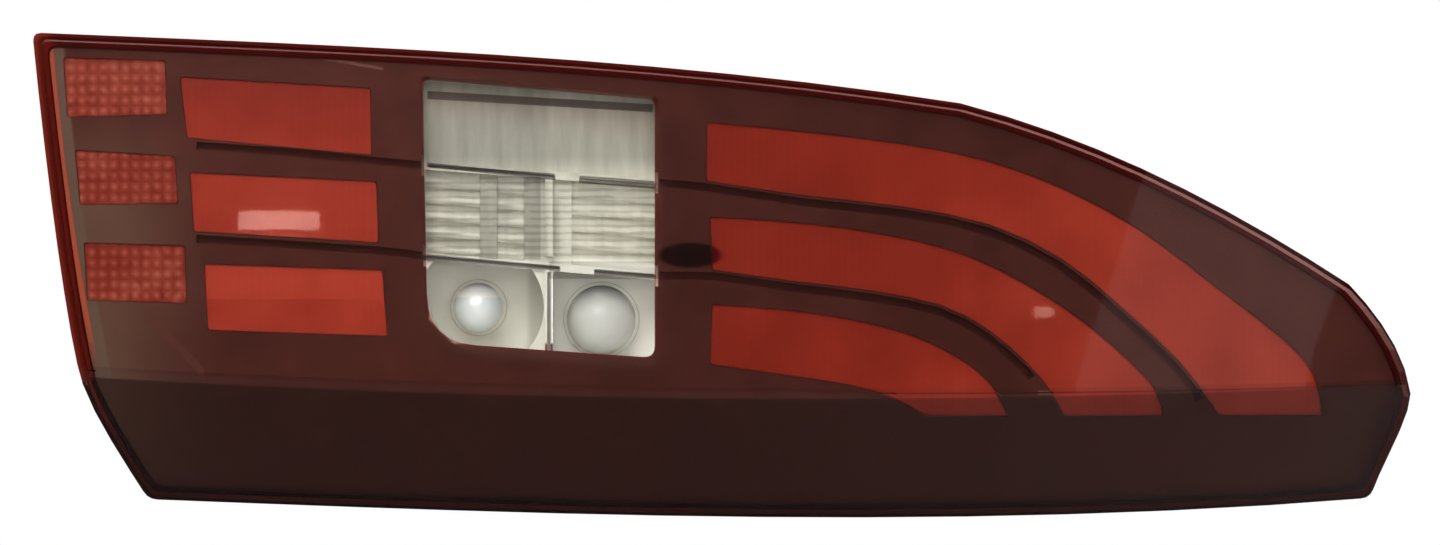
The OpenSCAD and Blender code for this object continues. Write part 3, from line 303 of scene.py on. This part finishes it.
def bezel_plastic():
    """Satin plastic, dark below the crease, with painted light: a veil and glow at its left end, a lighter
    right end, glints and a dark oval of shade.
    """
    finish = Finish("bezel satin grey plastic", (0.14, 0.13, 0.125), 0.4)
    x, _, z = finish.axes()
    edge = finish.from_left_end()
    shade = finish.ramp(finish.noise(60, 4), (0.3, (0.1, 0.066, 0.058)), (0.7, (0.14, 0.092, 0.08)))
    # Painted veil of reflected light over the left end, cloudy, with a sharper strip of it near the edge
    veil_area = finish.maths("MULTIPLY", finish.fade(x, -112 * MM, -160 * MM), finish.fade(z, 66 * MM, 20 * MM))
    painted_veil = finish.maths("MULTIPLY", veil_area, finish.spread(finish.noise(28, 3), 0.2, 1.1))
    shade = finish.blend(painted_veil, shade, (0.29, 0.42, 0.33))
    # Painted light: the right end made lighter
    lit_right_end = finish.fade(x, 130 * MM, 220 * MM)
    shade = finish.blend(lit_right_end, shade, (1.3, 1.3, 1.3), "MULTIPLY")
    veil_strip = finish.within(edge, 6.4 * MM, 9.6 * MM, 1.2 * MM)
    shade = finish.blend(veil_strip, shade, (0.25, 0.42, 0.35))
    # Painted glow of the lens's lit side wall along the left edge
    above = finish.fade(z, -30 * MM, -12 * MM)
    edge_glow = finish.maths("MULTIPLY", finish.within(edge, 4.9 * MM, 6.3 * MM, 0.4 * MM), above)
    shade = finish.blend(edge_glow, shade, (0.85, 0.42, 0.24))
    # Painted glints along lines, broken up by noise
    for start, end, width, glint in PAINTED_GLINTS:
        glint_line = finish.on_line(photo_point(*start), photo_point(*end), width * MM)
        glint_line = finish.maths("MULTIPLY", glint_line, finish.spread(finish.noise(330, 2), 0.0, 1.3))
        shade = finish.blend(glint_line, shade, glint)
    shade = finish.blend(finish.below_crease(), shade, (0.3, 0.22, 0.2), "MULTIPLY")
    # Painted shade: the dark oval
    shade_spot = finish.oval(*PAINTED_DARK_SPOT)
    finish.colour(finish.blend(shade_spot, shade, (0.004, 0.002, 0.002)))
    finish.roughness(finish.spread(finish.noise(900, 2), 0.34, 0.5))
    finish.bump(finish.noise(2600, 2), 0.00004, 0.5)
    return finish


def bar_plastic():
    """Red light guide with painted light: brighter low on the left bars and towards the lamp's right end."""
    finish = Finish("light bar red plastic", (0.45, 0.14, 0.09), 0.35, Coat_Weight=0.3, Coat_Roughness=0.1)
    x, _, z = finish.axes()
    # Painted light on the left bars, lower down, and towards the right end, with random tone added
    left = finish.maths("MULTIPLY", finish.fade(x, -20 * MM, -60 * MM), finish.fade(z, 72 * MM, 20 * MM))
    right = finish.fade(x, 50 * MM, 200 * MM)
    light_and_tone = finish.maths("ADD", finish.maths("MULTIPLY", left, 0.42), finish.maths("MULTIPLY", right, 0.48))
    lit_half = finish.maths("MULTIPLY", finish.within(z, -6 * MM, 8 * MM, 0.6 * MM), left)
    light_and_tone = finish.maths("ADD", light_and_tone, finish.maths("MULTIPLY", lit_half, 0.28))
    light_and_tone = finish.maths("ADD", light_and_tone, finish.spread(finish.noise(38, 4), -0.1, 0.75))
    shade = finish.ramp(light_and_tone, (0.1, (0.43, 0.083, 0.046)), (0.55, (0.61, 0.13, 0.075)),
                        (1.0, (0.9, 0.25, 0.15)))
    shade = finish.blend(finish.below_crease(), shade, (0.5, 0.45, 0.45), "MULTIPLY")
    # Painted shade: the dark oval
    shade_spot = finish.oval(*PAINTED_DARK_SPOT)
    finish.colour(finish.blend(shade_spot, shade, (0.12, 0.001, 0.001)))
    finish.bump(finish.waves(420, "X"), 0.00012, 0.3)
    return finish


def reflex_plastic():
    """Reflex reflector: small prisms behind a smooth skin, drawn as a grid, with their sparkle painted in as
    bright patches.
    """
    finish = Finish("reflex reflector prisms", (0.6, 0.25, 0.18), 0.3, Coat_Weight=0.6, Coat_Roughness=0.05)
    rows = finish.waves(278, "Z", "TRI")
    columns = finish.waves(278, "X", "TRI")
    grid = finish.maths("MULTIPLY", rows, columns)
    # Painted sparkle: bright patches over the prism grid
    sparkle_patches = finish.maths("MULTIPLY", finish.noise(260, 2), finish.noise(60, 2))
    light = finish.maths("ADD", finish.maths("MULTIPLY", grid, 0.45), finish.maths("MULTIPLY", sparkle_patches, 1.4))
    finish.colour(finish.ramp(light, (0.15, (0.38, 0.075, 0.048)), (0.5, (0.6, 0.24, 0.16)),
                              (0.95, (0.86, 0.6, 0.48))))
    finish.bump(grid, 0.0005, 0.6)
    return finish


# The reflector's row of scallops along Z, and its divider's lower part along X and Z, where its gap gets
# painted shadow
SCALLOP_ROW = (8 * MM, 33 * MM)
DIVIDER_ACROSS = (-8.9 * MM, -7.6 * MM)
DIVIDER_UP = (-23 * MM, 3 * MM)

# Gaps of the reflector painted dark as shadow: lines of the front view with their widths
SHADOW_LINES = (
    ((429, 96), (652, 109), 2.6),
    ((429, 165.5), (555, 178.5), 1.5), ((580, 181), (655, 187), 1.5),
    ((425, 258), (560, 269), 1.5), ((595, 272.5), (655, 277), 1.5))


def outside_window(finish):
    """1 beyond the clear window's sides, its foot and its rounded lower left corner."""
    x, _, z = finish.axes()
    sides = finish.maths("MAXIMUM", finish.fade(x, -47.5 * MM, -48.5 * MM),
                         finish.fade(x, 25.5 * MM, 26.5 * MM))
    foot = finish.fade(z, -20.5 * MM, -21.5 * MM)
    corner = finish.fade(finish.maths("ADD", x, z), -60 * MM, -62 * MM)
    return finish.maths("MAXIMUM", finish.maths("MAXIMUM", sides, foot), corner)


def silvered_plastic():
    """Vacuum silver, darker on its plain upper part, with painted shadow in the gaps between its parts and
    painted shade on its front rim.
    """
    finish = Finish("reflector vacuum silver", (0.5, 0.49, 0.43), 0.4, Metallic=0.15)
    x, _, z = finish.axes()
    streaks = finish.noise(260, 3, stretch=(1.0, 1.0, 0.1))
    shade = finish.ramp(streaks, (0.3, (0.44, 0.43, 0.36)), (0.7, (0.58, 0.565, 0.48)))
    upper = finish.fade(z, 32 * MM, 42 * MM)
    left_half = finish.fade(x, -7 * MM, -10 * MM)
    shade = finish.blend(left_half, shade, (0.8, 0.81, 0.81), "MULTIPLY")
    shade = finish.blend(upper, shade, (0.56, 0.57, 0.56), "MULTIPLY")
    bowls = finish.blend(left_half, (0.98, 0.97, 0.9), (0.82, 0.81, 0.73))
    beside_divider = finish.within(x, -14 * MM, -9 * MM, 3 * MM)
    bowls = finish.blend(beside_divider, bowls, (0.76, 0.76, 0.74), "MULTIPLY")
    shade = finish.blend(finish.fade(z, 8 * MM, 4 * MM), shade, bowls)
    ledge = finish.within(z, 0.6 * MM, 6 * MM, 0.4 * MM)
    ledge = finish.maths("MULTIPLY", ledge, finish.fade(x, -9 * MM, -8 * MM))
    shade = finish.blend(ledge, shade, (0.6, 0.6, 0.58), "MULTIPLY")
    flutes = finish.maths("MULTIPLY", finish.waves(420, "Z", distortion=1.5), finish.noise(120, 2))
    flutes = finish.maths("MULTIPLY", finish.fade(flutes, 0.2, 0.5), finish.within(z, *SCALLOP_ROW, 1 * MM))
    shade = finish.blend(flutes, shade, (0.72, 0.72, 0.7), "MULTIPLY")
    ribs = finish.maths("MAXIMUM", finish.within(x, -31.3 * MM, -25.7 * MM, 0.4 * MM),
                        finish.within(x, -16.7 * MM, -11.5 * MM, 0.4 * MM))
    ribs = finish.maths("MULTIPLY", ribs, finish.within(z, 7 * MM, 34 * MM, 0.5 * MM))
    shade = finish.blend(ribs, shade, (0.66, 0.66, 0.64), "MULTIPLY")
    # Painted shadow along the gaps between the reflector's parts
    painted_gap_shadow = None
    for start, end, width in SHADOW_LINES:
        gap_shadow = finish.on_line(photo_point(*start), photo_point(*end), width * MM)
        painted_gap_shadow = gap_shadow if painted_gap_shadow is None else finish.maths("MAXIMUM", painted_gap_shadow, gap_shadow)
    # Painted shade on the reflector's front rim, where it shows beyond the window
    front = finish.fade(finish.from_dome_centre(), *REFLECTOR_FRONT)
    rim_shade = finish.maths("MULTIPLY", front, outside_window(finish))
    shade = finish.blend(rim_shade, shade, (0.16, 0.06, 0.05))
    # Painted shadow in the divider's lower gap
    divider_shadow = finish.maths("MULTIPLY", finish.within(x, *DIVIDER_ACROSS, 0.3 * MM),
                           finish.within(z, *DIVIDER_UP, 0.5 * MM))
    painted_gap_shadow = finish.maths("MAXIMUM", finish.maths("MULTIPLY", painted_gap_shadow, 0.8),
                        finish.maths("MULTIPLY", divider_shadow, 0.3))
    finish.colour(finish.blend(painted_gap_shadow, shade, (0.035, 0.02, 0.018)))
    finish.roughness(finish.spread(finish.noise(160, 3), 0.3, 0.5))
    finish.bump(finish.noise(140, 3), 0.0002, 0.4)
    return finish


def moulded_plastic(name, dark, light, grain=1500):
    """Injection-moulded plastic with a fine spark-eroded grain."""
    finish = Finish(name, dark, 0.55)
    finish.colour(finish.ramp(finish.noise(35, 5), (0.3, dark), (0.72, light)))
    finish.roughness(finish.spread(finish.noise(grain / 3, 3), 0.45, 0.68))
    finish.bump(finish.noise(grain, 2), 0.00005, 0.6)
    return finish


def white_plastic():
    """Glossy white plastic that throws the LEDs' light forward."""
    finish = Finish("light box white plastic", (0.82, 0.82, 0.8), 0.35)
    finish.roughness(finish.spread(finish.noise(300, 2), 0.28, 0.45))
    finish.bump(finish.noise(900, 2), 0.00003, 0.4)
    return finish


def metal(name, dark, light, low, high, brushed=None):
    """Bare or plated metal, brushed along the axis that its stretch leaves long."""
    finish = Finish(name, dark, 0.3, Metallic=1.0)
    finish.colour(finish.ramp(finish.noise(120, 4), (0.3, dark), (0.7, light)))
    finish.roughness(finish.spread(finish.noise(400, 3, stretch=brushed), low, high))
    finish.bump(finish.noise(1400, 2, stretch=brushed), 0.00003, 0.5)
    return finish


def stud_steel():
    """Zinc-plated steel, with a rolled thread on the studs' free length."""
    finish = Finish("stud zinc plate", (0.6, 0.6, 0.57), 0.32, Metallic=1.0)
    finish.colour(finish.ramp(finish.noise(260, 4), (0.3, (0.5, 0.5, 0.46)), (0.7, (0.72, 0.71, 0.66))))
    _, y, _ = finish.axes()
    free = finish.maths("GREATER_THAN", y, 1.5 * MM)
    thread = finish.maths("MULTIPLY", finish.waves(1000, "Y", "TRI"), free)
    finish.roughness(finish.spread(thread, 0.24, 0.42))
    finish.bump(thread, 0.0006, 0.9)
    return finish


def rubber(name, colour):
    """Matt rubber, silicone or set glue."""
    finish = Finish(name, colour, 0.7)
    finish.roughness(finish.spread(finish.noise(500, 3), 0.6, 0.8))
    finish.bump(finish.noise(1800, 2), 0.00005, 0.5)
    return finish


def foam():
    """Closed-cell foam strip."""
    finish = Finish("gasket foam", (0.03, 0.03, 0.032), 0.9)
    cells = finish.add("ShaderNodeTexVoronoi")
    cells.inputs["Scale"].default_value = 1300
    finish.link(finish.place, cells.inputs["Vector"])
    walls = cells.outputs["Distance"]
    finish.colour(finish.ramp(walls, (0.0, (0.015, 0.015, 0.016)), (0.6, (0.05, 0.05, 0.052))))
    finish.bump(walls, 0.0003, 0.8)
    return finish


def board_mask():
    """Green solder mask with its copper showing as faint tracks."""
    finish = Finish("board solder mask", (0.02, 0.14, 0.07), 0.35, Coat_Weight=0.5, Coat_Roughness=0.1)
    tracks = finish.maths("MULTIPLY", finish.waves(260, "X", "SAW"), finish.waves(190, "Z", "SAW"))
    finish.colour(finish.ramp(tracks, (0.45, (0.012, 0.1, 0.05)), (0.55, (0.03, 0.2, 0.1))))
    finish.bump(tracks, 0.00004, 0.5)
    return finish


def led_phosphor():
    """Yellow phosphor dome with a paler heart."""
    finish = Finish("LED phosphor", (0.85, 0.68, 0.2), 0.5)
    finish.colour(finish.ramp(finish.noise(700, 2), (0.35, (0.9, 0.86, 0.7)), (0.6, (0.85, 0.66, 0.2))))
    return finish


def bulb_glass(name, tint):
    """Pearl glass: frosted on the inside, so that it looks like a pale disc."""
    finish = Finish(name, tint, 0.45, IOR=1.5, Transmission_Weight=0.25,
                    Coat_Weight=0.6, Coat_Roughness=0.05)
    finish.roughness(finish.spread(finish.noise(90, 3), 0.4, 0.55))
    finish.bump(finish.noise(60, 2), 0.00005, 0.3)
    return finish


def silvered_glass():
    """A bulb with a bluish mirror coat, painted lighter on its upper part as painted light."""
    finish = Finish("silvered bulb glass", (0.84, 0.86, 0.9), 0.3, Metallic=0.3)
    _, _, z = finish.axes()
    # Painted light: the upper part lighter
    lit_top = finish.fade(z, -6.3 * MM, -5.3 * MM)
    low = finish.ramp(finish.noise(150, 2), (0.3, (0.66, 0.71, 0.72)), (0.7, (0.74, 0.79, 0.8)))
    finish.colour(finish.blend(lit_top, low, (0.95, 0.95, 0.92)))
    finish.roughness(finish.spread(finish.noise(200, 2), 0.25, 0.4))
    return finish


CLEAR_LENS = clear_plastic("clear lens", CLEAR_TINT)
RED_LENS = frosted_sides(clear_plastic("smoked red lens", RED_TINT), RED_TINT)
HOUSING = moulded_plastic("housing black plastic", (0.022, 0.022, 0.024), (0.04, 0.04, 0.043))
CONNECTOR = moulded_plastic("connector black plastic", (0.012, 0.012, 0.013), (0.03, 0.03, 0.03), 2500)
HOLDER = moulded_plastic("bulb holder grey plastic", (0.2, 0.2, 0.19), (0.29, 0.29, 0.275), 2000)
BEZEL = bezel_plastic()
BARS = bar_plastic()
REFLEX = reflex_plastic()
SILVER = silvered_plastic()
WHITE = white_plastic()
BOARD = board_mask()
LED = led_phosphor()
STUD = stud_steel()
SCREW = metal("screw zinc plate", (0.5, 0.5, 0.47), (0.7, 0.7, 0.66), 0.25, 0.42)
BRASS = metal("bulb base nickelled brass", (0.55, 0.48, 0.34), (0.72, 0.64, 0.47), 0.22, 0.4)
TERMINAL = metal("terminal tin plate", (0.62, 0.58, 0.45), (0.78, 0.74, 0.6), 0.2, 0.35)
CASTING = metal("driver cast aluminium", (0.5, 0.5, 0.51), (0.66, 0.66, 0.67), 0.4, 0.6)
FILAMENT = metal("filament wire", (0.3, 0.3, 0.3), (0.45, 0.45, 0.45), 0.3, 0.5)
FOAM = foam()
GLUE = rubber("lens glue", (0.09, 0.055, 0.05))
SEAL = rubber("driver seal rubber", (0.03, 0.03, 0.03))
HOLDER_SEAL = rubber("bulb holder silicone", (0.4, 0.09, 0.04))
BULB = bulb_glass("bulb pearl glass", (0.64, 0.65, 0.62))
SILVERED = silvered_glass()

FINISHES = {
    RED_LENS: ["outer_lens"],
    CLEAR_LENS: ["clear_window"],
    HOUSING: ["housing"],
    GLUE: ["glue_bead"],
    BEZEL: ["bezel"],
    BARS: ["left_bar_top", "left_bar_middle", "left_bar_bottom",
           "right_bar_top", "right_bar_middle", "right_bar_bottom"],
    REFLEX: ["reflex_top", "reflex_middle", "reflex_bottom"],
    SILVER: ["reflector"],
    WHITE: ["left_light_box", "right_light_box"],
    BOARD: ["left_led_board", "right_led_board", "driver_board"],
    LED: ["left_leds", "right_leds"],
    SCREW: ["light_screws", "driver_screws"],
    SILVERED: ["turn_bulb"],
    BULB: ["reverse_bulb"],
    BRASS: ["turn_bulb_base", "reverse_bulb_base"],
    FILAMENT: ["reverse_bulb_filament"],
    HOLDER: ["turn_bulb_holder", "reverse_bulb_holder"],
    HOLDER_SEAL: ["turn_holder_seal", "reverse_holder_seal"],
    CONNECTOR: ["connector_shell", "vent_cap"],
    TERMINAL: ["connector_terminals"],
    CASTING: ["driver_case"],
    SEAL: ["driver_seal"],
    STUD: ["mounting_studs"],
    FOAM: ["body_gasket"],
}
for finish, names in FINISHES.items():
    finish.dress(*[nodes[name] for name in names])


# The ring round a bulb: how far it reaches past the glass, its lip, its dish, its hole, wall and edges
COLLAR_CLEAR = 1.1 * MM
COLLAR_LIP = 1.4 * MM
COLLAR_DISH = 0.5 * MM
COLLAR_HOLE_R = 7.5 * MM
COLLAR_WALL = 0.5 * MM
COLLAR_EDGE = 0.12 * MM


def add_bulb_collar(name, bulb, setback):
    """The reflector's rolled edge round a bulb: a dished ring, some way behind the bulb's front."""
    low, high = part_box(bulb)
    radius = (high[0] - low[0]) / 2 + COLLAR_CLEAR
    middle_of_bulb = ((low[0] + high[0]) / 2, low[1] + setback, (low[2] + high[2]) / 2)
    bpy.ops.object.select_all(action="DESELECT")
    bpy.ops.mesh.primitive_circle_add(vertices=64, radius=radius, fill_type="NGON",
                                      location=middle_of_bulb, rotation=(math.pi / 2, 0, 0))
    collar = bpy.context.object
    collar.name = name
    bpy.ops.object.transform_apply(location=True, rotation=True, scale=True)
    bpy.ops.object.mode_set(mode="EDIT")
    bpy.ops.mesh.inset(thickness=COLLAR_LIP)
    bpy.ops.transform.translate(value=(0, COLLAR_DISH, 0))
    bpy.ops.mesh.inset(thickness=radius - COLLAR_LIP - COLLAR_HOLE_R)
    bpy.ops.mesh.delete(type="FACE")
    bpy.ops.object.mode_set(mode="OBJECT")
    wall = collar.modifiers.new("wall", "SOLIDIFY")
    wall.thickness = COLLAR_WALL
    wall.offset = 0
    bpy.ops.object.modifier_apply(modifier="wall")
    edges = collar.modifiers.new("edges", "BEVEL")
    edges.width = COLLAR_EDGE
    edges.segments = 2
    bpy.ops.object.modifier_apply(modifier="edges")
    bpy.ops.object.shade_smooth_by_angle()
    SILVER.dress(collar)
    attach(collar, "root")


add_bulb_collar("turn_bulb_collar", "turn_bulb", 24.3 * MM)
add_bulb_collar("reverse_bulb_collar", "reverse_bulb", 22.7 * MM)


# The camera is far away, as the lamp looks flat, and the photograph's scale is true at this depth
TRUE_SCALE_Y = -38 * MM
SENSOR_WIDTH = 36.0
LENS_LENGTH = 600.0


def add_camera():
    """The photograph's camera, square to the lamp."""
    width = PHOTO_W / PIXELS_PER_MM * MM
    data = bpy.data.cameras.new("photograph")
    data.sensor_width = SENSOR_WIDTH
    data.lens = LENS_LENGTH
    distance = width * data.lens / data.sensor_width
    data.clip_start = 0.1
    data.clip_end = distance * 3
    camera = bpy.data.objects.new("photograph", data)
    camera.location = photo_point(PHOTO_W / 2, PHOTO_H / 2, TRUE_SCALE_Y - distance)
    camera.rotation_euler = (math.pi / 2, 0, 0)
    bpy.context.scene.collection.objects.link(camera)
    bpy.context.scene.camera = camera


def add_light(name, place, target, size, power, colour=(1, 1, 1), roll=0.0):
    """A rectangular softbox aimed at a point and rolled by some degrees, out of the camera's sight."""
    data = bpy.data.lights.new(name, "AREA")
    data.shape = "RECTANGLE"
    data.size, data.size_y = size
    data.energy = power
    data.color = colour
    light = bpy.data.objects.new(name, data)
    light.location = place
    light.rotation_mode = "QUATERNION"
    aimed = (Vector(target) - Vector(place)).to_track_quat("-Z", "Y")
    light.rotation_quaternion = aimed @ Quaternion((0, 0, 1), math.radians(roll))
    light.visible_camera = False
    bpy.context.scene.collection.objects.link(light)
    return light


# How bright the studio is from below to overhead: height from 0 to 1, and grey level
STUDIO_LEVELS = ((0.0, 0.03), (0.38, 0.05), (0.5, 0.18), (0.62, 0.28), (1.0, 0.6))


def add_world():
    """A white backdrop behind the lamp, and a dim studio, brighter overhead, for its light."""
    world = bpy.data.worlds.new("studio")
    world.use_nodes = True
    tree = world.node_tree
    tree.nodes.clear()
    output = tree.nodes.new("ShaderNodeOutputWorld")
    studio = tree.nodes.new("ShaderNodeBackground")
    white = tree.nodes.new("ShaderNodeBackground")
    either = tree.nodes.new("ShaderNodeMixShader")
    path = tree.nodes.new("ShaderNodeLightPath")
    where = tree.nodes.new("ShaderNodeTexCoord")
    parts = tree.nodes.new("ShaderNodeSeparateXYZ")
    height = tree.nodes.new("ShaderNodeMapRange")
    height.inputs["From Min"].default_value = -1.0
    behind = tree.nodes.new("ShaderNodeMapRange")
    behind.inputs["From Min"].default_value = 0.0
    behind.inputs["From Max"].default_value = 0.2
    mirrored = tree.nodes.new("ShaderNodeMath")
    mirrored.operation = "MAXIMUM"
    backdrop = tree.nodes.new("ShaderNodeMath")
    backdrop.operation = "MULTIPLY"
    seen = tree.nodes.new("ShaderNodeMath")
    seen.operation = "MAXIMUM"
    grey = tree.nodes.new("ShaderNodeValToRGB")
    while len(grey.color_ramp.elements) < len(STUDIO_LEVELS):
        grey.color_ramp.elements.new(0.5)
    for element, (place, level) in zip(grey.color_ramp.elements, STUDIO_LEVELS):
        element.position = place
        element.color = (level, level, level, 1.0)
    white.inputs["Color"].default_value = (1, 1, 1, 1)
    tree.links.new(where.outputs["Generated"], parts.inputs["Vector"])
    tree.links.new(parts.outputs["Z"], height.inputs["Value"])
    tree.links.new(parts.outputs["Y"], behind.inputs["Value"])
    tree.links.new(height.outputs["Result"], grey.inputs["Fac"])
    tree.links.new(grey.outputs["Color"], studio.inputs["Color"])
    tree.links.new(path.outputs["Is Glossy Ray"], mirrored.inputs[0])
    tree.links.new(path.outputs["Is Transmission Ray"], mirrored.inputs[1])
    tree.links.new(mirrored.outputs[0], backdrop.inputs[0])
    tree.links.new(behind.outputs["Result"], backdrop.inputs[1])
    tree.links.new(path.outputs["Is Camera Ray"], seen.inputs[0])
    tree.links.new(backdrop.outputs[0], seen.inputs[1])
    tree.links.new(seen.outputs[0], either.inputs["Fac"])
    tree.links.new(studio.outputs["Background"], either.inputs[1])
    tree.links.new(white.outputs["Background"], either.inputs[2])
    tree.links.new(either.outputs["Shader"], output.inputs["Surface"])
    bpy.context.scene.world = world


FLOOR_WIDTH = 3.2
FLOOR_HEIGHT = -0.25


def add_floor():
    """A pale floor below the lamp, out of the photograph's frame."""
    bpy.ops.mesh.primitive_plane_add(size=FLOOR_WIDTH, location=(0, 0, 0))
    floor = bpy.context.object
    floor.name = "floor"
    for corner in floor.data.vertices:
        corner.co.z = FLOOR_HEIGHT
    finish = Finish("pale floor", (0.78, 0.78, 0.77), 0.7)
    finish.colour(finish.ramp(finish.noise(40, 4), (0.3, (0.765, 0.765, 0.755)),
                              (0.7, (0.795, 0.795, 0.785))))
    finish.dress(floor)


add_camera()
add_world()
add_floor()

# Each light: its place, where it aims, its size in metres and its power in watts
middle = photo_point(700, 280)
add_light("front softbox", (-0.5, -2.4, 1.5), middle, (1.6, 1.2), 36)
fill = add_light("front fill", (0.1, -3.0, 0.1), middle, (1.2, 1.2), 38)
fill.visible_glossy = False
fill.visible_transmission = False
add_light("right card", (2.327, -1.507, 0.2), middle, (0.75, 1.3), 4.2, roll=-25)
add_light("spark", (1.47, -1.53, 0.04), photo_point(1048, 312), (0.05, 0.025), 0.07, (1, 0.7, 0.6))
add_light("small window", (-0.37, -2.0, 0.272), photo_point(282, 218), (0.2, 0.045), 0.9, (1, 0.66, 0.58))
add_light("back softbox", (0.6, 2.2, 1.3), middle, (1.6, 1.2), 50)

bpy.context.scene.view_settings.view_transform = "Standard"
